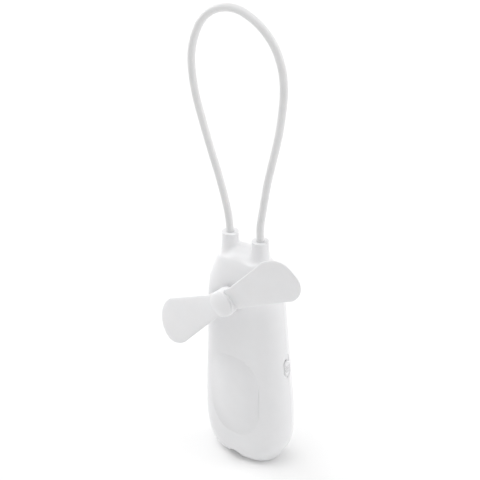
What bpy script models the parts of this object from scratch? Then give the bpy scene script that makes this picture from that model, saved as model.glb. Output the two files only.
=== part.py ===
"""Pocket fan with two paddle blades and a lanyard loop, built piece by piece.

Units are metres and +Z is up. The fan stands on its flat base at z = 0, its rotor
faces -Y and its slide switch is on the +X side. The origin is on the base, under the
middle of the grip.
"""

import math

import bmesh
import bpy
from mathutils import Matrix, Vector

# Walls and clearances that all the pieces share
wall = 0.002
fit_gap = 0.0003
cut_overrun = 0.02
edge_break = 0.0004

# The two cells and their contacts
cell_diameter = 0.0142
cell_body_length = 0.049
cell_nub_diameter = 0.0055
cell_nub_length = 0.0012
cell_edge = 0.0008
cell_clearance = 0.0003
cell_web = 0.0006
contact_sheet = 0.0003
contact_width = 0.0096
contact_depth = 0.0066
contact_tab_height = 0.0032
contact_tab_width = 0.003
spring_height = 0.0029
spring_wire = 0.0005
spring_wide_radius = 0.0036
spring_narrow_radius = 0.0019
spring_turns = 3.0

# The tray that carries them
tray_wall = 0.0006
tray_floor = 0.00125
tray_end = 0.0009
tray_open_drop = 0.003
base_room = 0.003

# The slide switch, from the tray outward
switch_drop = 0.0092
switch_depth = 0.0031
switch_floor = 0.0008
switch_travel = 0.003
switch_frame_width = 0.0037
switch_frame_length = 0.0096
switch_sheet = 0.0004
switch_base_thickness = 0.0006
switch_base_overhang = 0.0012
lever_length = 0.003
lever_stem_width = 0.001
lever_stem_length = 0.0016
knob_width = 0.0034
knob_length = 0.0074
knob_proud = 0.0003
knob_pocket_depth = 0.0006
knob_end_room = 0.00045
knob_side_room = 0.0005
knob_groove_width = 0.0005
knob_groove_depth = 0.0003
knob_groove_pitch = 0.0013
recess_depth = 0.001

# The battery door
door_thickness = 0.001
door_clearance = 0.00315
door_side_room = 0.0011
door_end_room = 0.001
door_corner = 0.004
door_ledge = 0.0018
door_rib_width = 0.0012
door_rib_length = 0.03
grip_groove_depth = 0.0004
grip_groove_width = 0.0009
grip_groove_length = 0.013
grip_groove_pitch = 0.002
grip_groove_drop = 0.006

# Grip, roof and horns
front_depth = 0.0098
base_trim = 0.0007
parting_y = 0.0006
roof_sag = 0.0024
roof_crown = 0.0014
roof_front_drop = 0.0034
roof_room = 0.00865
horn_spacing = 0.0157
horn_height = 0.0064
horn_wall = 0.00175

# Front pad and base arch
pad_width = 0.0284
pad_height = 0.0396
pad_centre = 0.0352
pad_rise = 0.0004
pad_bow_radius = 0.087
arch_width = 0.0086
arch_height = 0.0025
arch_front = 0.0042
arch_cover = 0.0015

# Motor and shaft
motor_width = 0.012
motor_flats = 0.010
motor_room = 0.023
motor_cap_length = 0.002
motor_rib_height = 0.0005
motor_rib_width = 0.0012
motor_rib_length = 0.008
collar_wall = 0.0012
bush_diameter = 0.0032
bush_length = 0.002
shaft_diameter = 0.0015
shaft_seat = 0.004
terminal_width = 0.0016
terminal_length = 0.0016
terminal_sheet = 0.0003

# Rotor
rotor_radius = 0.0438
rotor_gap = 0.0012
hub_diameter = 0.0115
hub_length = 0.006
hub_edge = 0.0005
hub_recess_depth = 0.001
hub_rim = 0.0009
hub_boss_diameter = 0.0044
hub_web = 0.0005
blade_depth_in_hub = 0.0036
blade_root_radius = 0.0024
blade_root_chord = 0.008
blade_chord = 0.0198
blade_thickness = 0.0014
blade_rest_angle = math.radians(34.2)
blade_pitch = math.radians(14.0)
cap_rise = 0.0016
cap_skirt = 0.0003
cap_pin_diameter = 0.0024
cap_pin_length = 0.0006

# Screws, their bosses and the tongues at the base
screw_diameter = 0.0019
screw_head_diameter = 0.0036
screw_head_height = 0.0014
screw_head_dome = 0.0004
screw_seat_depth = 0.0034
screw_reach = 0.0056
screw_slot_width = 0.0005
screw_slot_length = 0.0022
screw_slot_depth = 0.0006
boss_wall = 0.001
boss_room = 0.0008
side_screw_room = 0.0085
tongue_width = 0.005
tongue_thickness = 0.0015
tongue_reach = 0.0012
tongue_spacing = 0.0136

# Lanyard cord, its sleeves and the wires
cord_diameter = 0.0031
cord_spacing = 0.0062
ferrule_wall = 0.00065
ferrule_length = 0.0045
ferrule_drop = 0.0025
ferrule_shelf = 0.0015
ferrule_web = 0.0012
wire_diameter = 0.0011
wire_point_count = 14

# Route of the lanyard cord's middle line, from the left horn over the loop to the right one
cord_route = (
    (-0.00785, 0.0006, 0.0944),
    (-0.00785, 0.0006, 0.1010),
    (-0.00785, 0.0006, 0.1075),
    (-0.0083, 0.0004, 0.1166),
    (-0.0099, 0.0002, 0.1250),
    (-0.0126, 0.0000, 0.1352),
    (-0.0153, -0.0003, 0.1440),
    (-0.0186, -0.0008, 0.1560),
    (-0.0211, -0.0014, 0.1668),
    (-0.0221, -0.0019, 0.1768),
    (-0.0214, -0.0025, 0.1850),
    (-0.0190, -0.0030, 0.1923),
    (-0.0150, -0.0034, 0.1990),
    (-0.0096, -0.0037, 0.2036),
    (-0.0030, -0.0039, 0.2060),
    (0.0036, -0.0039, 0.2060),
    (0.0098, -0.0038, 0.2036),
    (0.0150, -0.0035, 0.1998),
    (0.0194, -0.0031, 0.1942),
    (0.0219, -0.0025, 0.1868),
    (0.0224, -0.0019, 0.1790),
    (0.0214, -0.0014, 0.1705),
    (0.0190, -0.0008, 0.1590),
    (0.0150, -0.0003, 0.1452),
    (0.0124, 0.0000, 0.1360),
    (0.0099, 0.0002, 0.1245),
    (0.0082, 0.0004, 0.1160),
    (0.00785, 0.0006, 0.1075),
    (0.00785, 0.0006, 0.1010),
    (0.00785, 0.0006, 0.0944),
)

# Housing rings from base to roof, as shares of the height, the half width, the front
# depth, the rear depth and the roof's sag
housing_ring_shares = (
    (0.0, 0.7, 0.652, 0.457, 0.0),
    (0.0462, 0.741, 1.3, 0.791, 0.0),
    (0.106, 0.987, 1.3, 0.877, 0.0),
    (0.2955, 1.0, 1.143, 1.0, 0.0),
    (0.584, 0.885, 1.045, 0.916, 0.0),
    (0.796, 0.85, 1.021, 0.807, 0.0),
    (0.892, 0.746, 0.898, 0.806, 0.25),
    (0.956, 0.63, 0.796, 0.677, 0.75),
    (0.9885, 0.59, 0.72, 0.59, 0.9),
    (1.0, 0.53, 0.54, 0.46, 0.9),
)
corner_width_share = 0.83
corner_depth_share = 0.78
middle_share = 0.43
side_share = 1.085

# Horn loops, as shares of the horn's radius and of its height above the shoulder
horn_loop_shares = ((1.05, 0.24), (1.0, 0.63), (1.0, 1.0), (0.55, 1.0))
horn_foot_radius_share = 1.14
horn_foot_height_share = 0.06
horn_foot_blend_share = 0.4
horn_crease_share = 0.9

# Where the housing's surface passes the switch and the fan's axis
switch_face_share = 0.918
fan_front_share = 0.97
fan_rear_share = 0.805
side_screw_share = 0.535
pad_power = 2.5
pad_front_share = 1.138
pad_lean_share = 0.045

# Blade outline: where it is widest, how it grows to there, and its stations
blade_widest_share = 0.76
blade_growth_power = 0.95
blade_inner_shares = (0.0, 0.09, 0.22, 0.4, 0.6, 0.8)
blade_tip_angles = tuple(math.radians(degrees) for degrees in (0, 20, 38, 54, 68, 79, 86))
blade_edge_power = 3.0
blade_tip_thickness_share = 0.5

# Facets round the turned and lofted pieces
fine_steps = 32
round_steps = 24
small_steps = 16
blade_steps = 12
pad_steps = 48
spring_steps = 10
dome_steps = 6
first_corner_share = 0.3

# Places worked out from the sizes above
cell_radius = cell_diameter / 2
cell_x = (cell_diameter + cell_web) / 2
cell_bore = cell_diameter + 2 * cell_clearance
cell_y = cell_radius + cell_clearance + tray_floor + fit_gap + wall - front_depth
tray_half_width = cell_x + cell_bore / 2 + tray_wall
tray_bottom = wall + base_room
bridge_bottom = tray_bottom + tray_end + fit_gap
cell_bottom = bridge_bottom + contact_sheet + fit_gap
cell_seat = spring_height + fit_gap
cell_top = cell_bottom + cell_seat + cell_body_length + cell_nub_length
plate_bottom = cell_top + fit_gap
tray_inner_top = plate_bottom + contact_sheet + fit_gap
tray_top = tray_inner_top + tray_end

switch_height = tray_top - switch_drop
switch_inner_x = tray_half_width + fit_gap
switch_outer_x = switch_inner_x + switch_depth
switch_pocket_x = switch_outer_x + fit_gap
recess_floor_x = switch_pocket_x + switch_floor
knob_x = recess_floor_x + fit_gap
switch_face_x = recess_floor_x + recess_depth
half_width = switch_face_x / switch_face_share

rear_depth = cell_y + cell_radius + door_clearance + door_thickness
side_screw_x = half_width * side_screw_share
side_screw_z = tray_top + side_screw_room
boss_bore = screw_diameter + 2 * fit_gap
boss_diameter = boss_bore + 2 * boss_wall
head_bore = screw_head_diameter + 2 * fit_gap
fan_height = tray_top + motor_room
top_screw_z = fan_height + motor_flats / 2 + fit_gap + collar_wall + boss_diameter / 2 + boss_room
shoulder_height = top_screw_z + roof_room
housing_height = shoulder_height + horn_height
front_parting = parting_y - fit_gap / 2
rear_parting = parting_y + fit_gap / 2

fan_front = front_depth * fan_front_share
fan_rear = rear_depth * fan_rear_share
motor_front = fit_gap + wall - fan_front
motor_rear = fan_rear - wall - motor_rib_height - fit_gap
motor_can_rear = motor_rear - motor_cap_length - fit_gap
hub_rear = -(front_depth + rotor_gap)
hub_front = hub_rear - hub_length
blade_y = hub_rear - blade_depth_in_hub
cap_rear = hub_front - fit_gap
pin_rear = hub_front + cap_pin_length
pin_seat = pin_rear + fit_gap
bore_end = pin_seat + hub_web
shaft_front = bore_end + fit_gap
running_bore = shaft_diameter + 2 * fit_gap

horn_bore = cord_diameter + 2 * fit_gap
horn_radius = horn_bore / 2 + horn_wall
ferrule_diameter = horn_bore + 2 * ferrule_wall
ferrule_top = shoulder_height - ferrule_drop
ferrule_bottom = ferrule_top - ferrule_length
chamber_diameter = ferrule_diameter + 2 * fit_gap
holder_diameter = chamber_diameter + 2 * boss_wall
holder_bottom = ferrule_bottom - fit_gap - ferrule_shelf


# Shape helpers

def solid(name, shape):
    """Turn a bmesh into an object with its faces pointing out."""
    bmesh.ops.recalc_face_normals(shape, faces=shape.faces)
    mesh = bpy.data.meshes.new(name)
    shape.to_mesh(mesh)
    shape.free()
    piece = bpy.data.objects.new(name, mesh)
    bpy.context.scene.collection.objects.link(piece)
    return piece


def loft(rings):
    """Close a skin over rings that have the same number of points."""
    shape = bmesh.new()
    loops = [[shape.verts.new(point) for point in ring] for ring in rings]
    for lower, upper in zip(loops, loops[1:]):
        for k, corner in enumerate(lower):
            j = (k + 1) % len(lower)
            shape.faces.new((corner, lower[j], upper[j], upper[k]))
    shape.faces.new(loops[0])
    shape.faces.new(loops[-1])
    return solid("loft", shape)


def placed(axis, a, b, along):
    """Point at (a, b) in the plane across an axis: YZ for X, XZ for Y, XY for Z."""
    return {"X": (along, a, b), "Y": (a, along, b), "Z": (a, b, along)}[axis]


def prism(outline, axis, low, high, centre=(0.0, 0.0)):
    """Extrude a flat outline along an axis."""
    rings = []
    for along in (low, high):
        rings.append([placed(axis, centre[0] + a, centre[1] + b, along) for a, b in outline])
    return loft(rings)


def block(x, y, z):
    """Box between three pairs of limits."""
    return prism(((x[0], y[0]), (x[1], y[0]), (x[1], y[1]), (x[0], y[1])), "Z", z[0], z[1])


def circle(diameter, steps):
    """Outline of a circle; its corners start off the axes, clear of those of the housing."""
    turns = [2 * math.pi * (k + first_corner_share) / steps for k in range(steps)]
    return [(diameter / 2 * math.cos(turn), diameter / 2 * math.sin(turn)) for turn in turns]


def rod(diameter, axis, low, high, centre, steps=round_steps):
    """Round bar along an axis."""
    return prism(circle(diameter, steps), axis, low, high, centre)


def rounded(width, height, radius, steps):
    """Outline of a rectangle with round corners; a capsule where the radius fills the width."""
    outline = []
    for quarter in range(4):
        side = (1 if quarter in (0, 3) else -1, 1 if quarter < 2 else -1)
        for k in range(steps + 1):
            turn = math.pi / 2 * (quarter + k / steps)
            a = side[0] * (width / 2 - radius) + radius * math.cos(turn)
            b = side[1] * (height / 2 - radius) + radius * math.sin(turn)
            if not outline or math.dist(outline[-1], (a, b)) > radius / fine_steps:
                outline.append((a, b))
    return outline


def oval(width, height, power, steps):
    """Outline of a superellipse; its corners start off the axes."""
    outline = []
    for k in range(steps):
        turn = 2 * math.pi * (k + first_corner_share) / steps
        across = math.cos(turn)
        up = math.sin(turn)
        outline.append((
            width / 2 * math.copysign(abs(across) ** (2 / power), across),
            height / 2 * math.copysign(abs(up) ** (2 / power), up),
        ))
    return outline


def turned(profile, axis, centre, steps):
    """Revolve a profile of (along, radius) points, with a flat face at each end."""
    rings = []
    for along, radius in profile:
        ring = circle(2 * radius, steps)
        rings.append([placed(axis, centre[0] + a, centre[1] + b, along) for a, b in ring])
    return loft(rings)


def bake(piece):
    """Put the evaluated shape in place of the mesh and its modifiers."""
    graph = bpy.context.evaluated_depsgraph_get()
    mesh = bpy.data.meshes.new_from_object(piece.evaluated_get(graph))
    before = piece.data
    piece.modifiers.clear()
    piece.data = mesh
    bpy.data.meshes.remove(before)


def flatten(piece):
    """Split every face into triangles, which are flat."""
    shape = bmesh.new()
    shape.from_mesh(piece.data)
    bmesh.ops.triangulate(shape, faces=shape.faces)
    shape.to_mesh(piece.data)
    shape.free()
    return piece


def combine(piece, tools, operation):
    """Apply one Boolean for each tool, and remove the tools."""
    for tool in tools:
        modifier = piece.modifiers.new(operation, "BOOLEAN")
        modifier.operation = operation
        modifier.solver = "EXACT"
        modifier.object = tool
        bake(piece)
        bpy.data.objects.remove(tool)
    return piece


def cut(piece, *tools):
    return combine(piece, tools, "DIFFERENCE")


def join(piece, *tools):
    return combine(piece, tools, "UNION")


def keep(piece, *tools):
    return combine(piece, tools, "INTERSECT")


def tube(name, points, diameter, resolution, material):
    """Round tube with filled ends along a line of points."""
    curve = bpy.data.curves.new(name, "CURVE")
    curve.dimensions = "3D"
    curve.bevel_depth = diameter / 2
    curve.bevel_resolution = resolution
    curve.use_fill_caps = True
    spline = curve.splines.new("POLY")
    spline.points.add(len(points) - 1)
    for spot, point in zip(spline.points, points):
        spot.co = (*point, 1.0)
    piece = bpy.data.objects.new(name, curve)
    bpy.context.scene.collection.objects.link(piece)
    curve.materials.append(material)
    return piece


def smooth_path(route, samples):
    """Dense points on a smooth curve that passes through every point of a route."""
    stops = [Vector(point) for point in route]
    stops = [2 * stops[0] - stops[1]] + stops + [2 * stops[-1] - stops[-2]]
    path = []
    for a, b, c, d in zip(stops, stops[1:], stops[2:], stops[3:]):
        for k in range(samples):
            t = k / samples
            path.append(0.5 * (
                2 * b + (c - a) * t + (2 * a - 5 * b + 4 * c - d) * t ** 2
                + (3 * b - a - 3 * c + d) * t ** 3
            ))
    return path + [stops[-2]]


def evenly(path, count):
    """Points spaced evenly along a path, with its two ends."""
    reach = [0.0]
    for start, end in zip(path, path[1:]):
        reach.append(reach[-1] + (end - start).length)
    points = []
    span = 0
    for k in range(count):
        target = reach[-1] * k / (count - 1)
        while span < len(path) - 2 and reach[span + 1] < target:
            span += 1
        share = (target - reach[span]) / (reach[span + 1] - reach[span])
        points.append(path[span].lerp(path[span + 1], share))
    return points, reach[-1]


def finish(piece, name, material):
    """Name a mesh piece, give it its material and shade its round faces smooth."""
    piece.name = name
    piece.data.name = name
    piece.data.materials.clear()
    piece.data.materials.append(material)
    piece.data.shade_smooth()
    piece.data.set_sharp_from_angle(angle=math.radians(35))
    return piece


def carry(name, point, pieces):
    """Put an empty on a joint's axis and hang the pieces that move with it from there."""
    pivot = bpy.data.objects.new(name, None)
    pivot.location = point
    bpy.context.scene.collection.objects.link(pivot)
    for piece in pieces:
        piece.data.transform(Matrix.Translation(-Vector(point)))
        piece.parent = pivot


def surface(name, colour, roughness, metallic=0.0):
    """Principled material with one colour."""
    material = bpy.data.materials.new(name)
    material.use_nodes = True
    shader = material.node_tree.nodes["Principled BSDF"]
    shader.inputs["Base Color"].default_value = (*colour, 1.0)
    shader.inputs["Roughness"].default_value = roughness
    shader.inputs["Metallic"].default_value = metallic
    return material


# Housing

ring_columns = (
    (-2, -1), (-1, -1), (0, -1), (1, -1), (2, -1), (2, 0),
    (2, 1), (1, 1), (0, 1), (-1, 1), (-2, 1), (-2, 0),
)


def cage_point(column, ring, top):
    """Corner of the housing's cage at one column of one ring."""
    i, j = column
    z, half, front, rear, sag = ring
    side = math.copysign(1, i)
    middle = horn_spacing / 2 if top else half * middle_share
    if j == 0:
        x = side * half * side_share if abs(i) == 2 else i * middle
        y = parting_y
    else:
        depth = rear if j > 0 else front
        x = side * half * corner_width_share if abs(i) == 2 else i * middle
        y = j * depth * (corner_depth_share if abs(i) == 2 else 1)
    rise = 0.0
    if top and column == (0, 1):
        rise = roof_crown
    elif top and column in ((-1, -1), (1, -1)):
        rise = -roof_front_drop
    return (x, y, z + rise - sag * (x / half) ** 2)


def add_horn(shape, base, side):
    """Grow one horn from its eight corners in the roof; returns its sharp rim edges."""
    gain = 1 / (2 / 3 + math.cos(math.pi / 4) / 3)
    loops = [base]
    foot = shoulder_height + horn_height * horn_foot_height_share
    for radius_share, height_share in ((horn_foot_radius_share, None),) + horn_loop_shares:
        loop = []
        for k, corner in enumerate(base):
            reach = horn_radius * gain * radius_share
            x = side * (horn_spacing / 2 + reach * math.cos(k * math.pi / 4))
            y = parting_y + reach * math.sin(k * math.pi / 4)
            if height_share is None:
                z = corner.co.z + (foot - corner.co.z) * horn_foot_blend_share
            else:
                z = shoulder_height + horn_height * height_share
            loop.append(shape.verts.new((x, y, z)))
        loops.append(loop)
    for lower, upper in zip(loops, loops[1:]):
        for k, corner in enumerate(lower):
            j = (k + 1) % len(lower)
            shape.faces.new((corner, lower[j], upper[j], upper[k]))
    inner = loops[-1]
    centre = shape.verts.new((side * horn_spacing / 2, parting_y, housing_height))
    for k in range(0, len(inner), 2):
        shape.faces.new((centre, inner[k], inner[k + 1], inner[(k + 2) % len(inner)]))
    rim = loops[-2]
    return [(rim[k], rim[(k + 1) % len(rim)]) for k in range(len(rim))]


def housing_form(inset, level, horns=False):
    """The housing's outer form, or a like form set in from it, as one smooth surface."""
    low = inset if inset > 0 else -base_trim
    high = shoulder_height - inset
    shape = bmesh.new()
    loops = []
    for number, shares in enumerate(housing_ring_shares):
        height, width, front, rear, sag = shares
        ring = (
            low + (high - low) * height, half_width * width - inset,
            front_depth * front - inset, rear_depth * rear - inset, roof_sag * sag,
        )
        top = horns and number == len(housing_ring_shares) - 1
        corners = {
            column: shape.verts.new(cage_point(column, ring, top)) for column in ring_columns
        }
        loops.append((ring, corners))
    for (_, lower), (_, upper) in zip(loops, loops[1:]):
        for k, column in enumerate(ring_columns):
            after = ring_columns[(k + 1) % len(ring_columns)]
            shape.faces.new((lower[column], lower[after], upper[after], upper[column]))
    ends = [loops[0]] if horns else [loops[0], loops[-1]]
    for ring, corners in ends:
        for i in (-1, 0, 1):
            corners[i, 0] = shape.verts.new(cage_point((i, 0), ring, False))
        for i in range(-2, 2):
            for j in (-1, 0):
                shape.faces.new((
                    corners[i, j], corners[i + 1, j], corners[i + 1, j + 1], corners[i, j + 1],
                ))
    rims = []
    if horns:
        corners = loops[-1][1]
        corners[0, 0] = shape.verts.new((0.0, parting_y, shoulder_height + roof_crown))
        for side in (-1, 1):
            around = (
                (2, 0), (2, 1), (1, 1), (0, 1), (0, 0), (0, -1), (1, -1), (2, -1),
            )
            base = [corners[side * i, j] for i, j in around]
            rims += add_horn(shape, base, side)
    crease = shape.edges.layers.float.new("crease_edge")
    for start, end in rims:
        shape.edges.get((start, end))[crease] = horn_crease_share
    piece = solid("housing_form", shape)
    smoothing = piece.modifiers.new("Subdivision", "SUBSURF")
    smoothing.levels = level
    smoothing.render_levels = level
    bake(piece)
    return flatten(piece)


def inner_ribs():
    """Bosses, collars and ribs inside the housing, before they are trimmed to its wall."""
    outside = (parting_y - cut_overrun, parting_y + cut_overrun)
    half_collar = motor_width / 2 + fit_gap + collar_wall
    flat_collar = motor_flats / 2 + fit_gap + collar_wall
    ribs = block(
        (-half_collar, half_collar), (-cut_overrun, parting_y),
        (fan_height - flat_collar, fan_height + flat_collar),
    )
    rib_half = motor_rib_width / 2
    rib_reach = motor_rib_length / 2
    rear = (motor_rear + fit_gap, cut_overrun)
    parts = [
        block((-rib_half, rib_half), rear, (fan_height - rib_reach, fan_height + rib_reach)),
        block((-rib_reach, rib_reach), rear, (fan_height - rib_half, fan_height + rib_half)),
    ]
    for x, z in screw_places():
        parts.append(rod(boss_diameter, "Y", *outside, (x, z), small_steps))
        parts.append(rod(head_bore + 2 * boss_wall, "Y", parting_y, cut_overrun, (x, z), small_steps))
    for side in (-1, 1):
        x = side * horn_spacing / 2
        parts.append(rod(holder_diameter, "Z", holder_bottom, shoulder_height, (x, parting_y)))
        parts.append(block(
            (x - ferrule_web / 2, x + ferrule_web / 2), outside, (holder_bottom, shoulder_height),
        ))
    cover = arch_width / 2 + arch_cover
    parts.append(block(
        (-cover, cover), (-cut_overrun, arch_cover - arch_front), (wall / 2, arch_height + arch_cover),
    ))
    join(ribs, *parts)
    return keep(ribs, housing_form(wall / 2, 1))


def screw_places():
    """Where the three screws stand, as (x, z)."""
    return ((-side_screw_x, side_screw_z), (side_screw_x, side_screw_z), (0.0, top_screw_z))


def motor_outline(clearance):
    """Outline of the motor's can: a circle cut by two flats."""
    turn = math.asin(motor_flats / motor_width)
    reach = motor_width / 2 + clearance
    outline = []
    for start in (-turn, math.pi - turn):
        for k in range(small_steps // 2 + 1):
            angle = start + 2 * turn * k / (small_steps // 2)
            flat = math.copysign(min(abs(reach * math.sin(angle)), motor_flats / 2 + clearance),
                                 math.sin(angle))
            outline.append((reach * math.cos(angle), flat))
    return outline


def cut_fixings(housing):
    """Holes for the motor, the shaft, the screws and the cord's ends."""
    centre = (0.0, fan_height)
    cut(
        housing,
        prism(motor_outline(fit_gap), "Y", motor_front - fit_gap, parting_y + fit_gap, centre),
        rod(bush_diameter + 2 * fit_gap, "Y", -cut_overrun, 0.0, centre),
    )
    seat = rear_parting + screw_seat_depth
    screw_hole = (
        (rear_parting - screw_reach - fit_gap, boss_bore / 2), (seat, boss_bore / 2),
        (seat, head_bore / 2), (cut_overrun, head_bore / 2),
    )
    for place in screw_places():
        cut(housing, turned(screw_hole, "Y", place, small_steps))
    cord_hole = (
        (holder_bottom - fit_gap, horn_bore / 2), (ferrule_bottom - fit_gap, horn_bore / 2),
        (ferrule_bottom - fit_gap, chamber_diameter / 2), (ferrule_top + fit_gap, chamber_diameter / 2),
        (ferrule_top + fit_gap, horn_bore / 2), (housing_height + cut_overrun, horn_bore / 2),
    )
    for side in (-1, 1):
        cut(housing, turned(cord_hole, "Z", (side * horn_spacing / 2, parting_y), round_steps))


def cut_switch(housing):
    """Oval recess for the knob, the slot behind it and the pocket for the switch's frame."""
    recess_length = knob_length + switch_travel + 2 * knob_end_room
    recess_width = knob_width + 2 * knob_side_room
    slot_width = lever_stem_width + 2 * fit_gap
    slot_length = lever_stem_length + switch_travel + 2 * fit_gap
    centre = (parting_y, switch_height)
    outline = rounded(recess_width, recess_length, recess_width / 2, small_steps // 2)
    slot = rounded(slot_width, slot_length, slot_width / 2, small_steps // 4)
    frame_half = switch_frame_width / 2 + fit_gap
    frame_reach = switch_frame_length / 2 + fit_gap
    cut(
        housing,
        prism(outline, "X", recess_floor_x, recess_floor_x + cut_overrun, centre),
        prism(slot, "X", switch_inner_x, recess_floor_x + recess_depth, centre),
        block(
            (switch_inner_x, switch_pocket_x),
            (parting_y - frame_half, parting_y + frame_half),
            (switch_height - frame_reach, switch_height + frame_reach),
        ),
    )


def add_pad(housing):
    """Oval pad that stands a little proud of the front, leans with it and bows gently."""
    face = -(front_depth * pad_front_share + pad_rise)
    outline = []
    for k in range(small_steps):
        x = pad_width * (k / (small_steps - 1) - 1 / 2)
        outline.append((x, face + pad_bow_radius - math.sqrt(pad_bow_radius ** 2 - x ** 2)))
    outline += [(pad_width / 2, 0.0), (-pad_width / 2, 0.0)]
    slab = prism(outline, "Z", pad_centre - pad_height, pad_centre + pad_height)
    lean = Matrix.Translation((0.0, -pad_lean_share * pad_centre, 0.0))
    lean[1][2] = pad_lean_share
    slab.data.transform(lean)
    rim = oval(pad_width, pad_height, pad_power, pad_steps)
    pad = prism(rim, "Y", -cut_overrun, 0.0, (0.0, pad_centre))
    join(housing, cut(keep(pad, slab), housing_form(wall, 1)))


def door_outline(shrink):
    """Outline of the battery opening, or of one that is smaller all round."""
    width = 2 * (tray_half_width + door_side_room)
    height = tray_top - tray_bottom
    return rounded(width - 2 * shrink, height - 2 * shrink, door_corner - shrink, small_steps // 4)


def door_centre():
    return (0.0, (tray_top + tray_bottom) / 2 + door_end_room)


def make_housing(material):
    """Front and rear shells, from one hollow form that is split at the parting plane."""
    housing = housing_form(0.0, 2, horns=True)
    cut(housing, housing_form(wall, 1))
    join(housing, inner_ribs())
    add_pad(housing)
    cut_fixings(housing)
    cut_switch(housing)
    arch_radius = ((arch_width / 2) ** 2 + arch_height ** 2) / (2 * arch_height)
    wide = (-half_width - cut_overrun, half_width + cut_overrun)
    tall = (-cut_overrun, housing_height + cut_overrun)
    cut(
        housing,
        block(wide, (-cut_overrun, cut_overrun), (-cut_overrun, 0.0)),
        rod(2 * arch_radius, "Y", -cut_overrun, -arch_front, (0.0, arch_height - arch_radius),
            pad_steps),
    )
    seat = prism(door_outline(0.0), "Y", cell_y, rear_depth + cut_overrun, door_centre())
    cut(seat, housing_form(door_thickness + fit_gap, 1))
    opening = prism(door_outline(door_ledge), "Y", cell_y, rear_depth + cut_overrun, door_centre())
    cut(housing, seat, opening)
    rear = housing.copy()
    rear.data = housing.data.copy()
    bpy.context.scene.collection.objects.link(rear)
    keep(housing, block(wide, (-cut_overrun, front_parting), tall))
    keep(rear, block(wide, (rear_parting, cut_overrun), tall))
    flatten(housing)
    for side in (-1, 1):
        x = side * tongue_spacing / 2
        half = tongue_width / 2
        low = wall + fit_gap
        root = block((x - half, x + half), (-arch_front - fit_gap, front_parting - fit_gap),
                     (wall / 2, low + tongue_thickness / 2))
        tongue = block((x - half + fit_gap, x + half - fit_gap),
                       (-arch_front, rear_parting + tongue_reach), (low, low + tongue_thickness))
        join(housing, join(root, tongue))
    finish(housing, "front_shell", material)
    finish(rear, "rear_shell", material)


def make_door(material):
    """Battery door that lies flush in the rear shell, with two cell ribs and grip grooves."""
    door = prism(door_outline(fit_gap), "Y", cell_y, rear_depth + cut_overrun, door_centre())
    keep(door, housing_form(0.0, 2, horns=True))
    cut(door, housing_form(door_thickness, 1))
    middle = door_centre()[1]
    for side in (-1, 1):
        rib = block(
            (side * cell_x - door_rib_width / 2, side * cell_x + door_rib_width / 2),
            (cell_y + cell_radius + fit_gap, cut_overrun),
            (middle - door_rib_length / 2, middle + door_rib_length / 2),
        )
        join(door, keep(rib, housing_form(door_thickness / 2, 1)))
    top = middle + (tray_top - tray_bottom) / 2 - grip_groove_drop
    for number in range(4):
        z = top - number * grip_groove_pitch
        groove = block(
            (-grip_groove_length / 2, grip_groove_length / 2), (cell_y, rear_depth + cut_overrun),
            (z - grip_groove_width / 2, z + grip_groove_width / 2),
        )
        cut(groove, housing_form(grip_groove_depth, 2))
        cut(door, groove)
    return finish(door, "battery_door", material)


# Cells, contacts and tray

def make_tray(material):
    """Tray with a half-round bed for each cell, open toward the battery door."""
    rear = cell_y + cell_radius + fit_gap
    tray = block(
        (-tray_half_width, tray_half_width), (-front_depth, rear), (tray_bottom, tray_top),
    )
    keep(tray, housing_form(wall + fit_gap, 1))
    cut(tray, prism(bed_outline(), "Z", tray_bottom + tray_end, tray_inner_top))
    half = contact_tab_width / 2 + fit_gap
    for x in (-cell_x, cell_x):
        cut(tray, block(
            (x - half, x + half), (tab_front() - fit_gap, tab_front() + contact_sheet + fit_gap),
            (tray_inner_top - fit_gap, tray_top + fit_gap),
        ))
    return finish(tray, "battery_tray", material)


def bed_outline():
    """Outline of the tray's hollow: two round beds under one opening to the rear."""
    side = tray_half_width - tray_wall
    shelf = cell_y - tray_open_drop
    turn = math.asin(2 * tray_open_drop / cell_bore)
    outline = [(-side, rear_parting + cut_overrun), (-side, shelf)]
    for x in (-cell_x, cell_x):
        for k in range(round_steps // 2 + 1):
            angle = math.pi + turn + (math.pi - 2 * turn) * k / (round_steps // 2)
            outline.append((x + cell_bore / 2 * math.cos(angle), cell_y + cell_bore / 2 * math.sin(angle)))
    return outline + [(side, shelf), (side, rear_parting + cut_overrun)]


def tab_front():
    """Front face of the contacts and their solder tabs, just above the beds' edges."""
    return cell_y - tray_open_drop + fit_gap


def make_cell(name, x, flipped, material):
    """AA cell with its raised end up, or down where it is flipped."""
    height = cell_body_length + cell_nub_length
    nub = cell_nub_diameter / 2
    profile = (
        (0.0, cell_radius - cell_edge), (cell_edge, cell_radius),
        (cell_body_length - cell_edge, cell_radius),
        (cell_body_length, cell_radius - cell_edge), (cell_body_length, nub), (height, nub),
    )
    start = cell_top - height
    if flipped:
        profile = [(height - along, radius) for along, radius in reversed(profile)]
        start = cell_bottom
    profile = [(start + along, radius) for along, radius in profile]
    return finish(turned(profile, "Z", (x, cell_y), round_steps), name, material)


def make_contacts(material):
    """Bridge plate under both cells and a plate with a solder tab over each."""
    reach = contact_width / 2
    depth = (tab_front(), tab_front() + contact_depth)
    bridge = block(
        (-cell_x - reach, cell_x + reach), depth,
        (bridge_bottom, bridge_bottom + contact_sheet),
    )
    finish(bridge, "contact_bridge", material)
    for name, x in (("contact_positive", -cell_x), ("contact_negative", cell_x)):
        plate = block(
            (x - reach, x + reach), depth, (plate_bottom, plate_bottom + contact_sheet),
        )
        join(plate, block(
            (x - contact_tab_width / 2, x + contact_tab_width / 2),
            (tab_front(), tab_front() + contact_sheet),
            (plate_bottom, tray_top + contact_tab_height),
        ))
        finish(plate, name, material)


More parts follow.
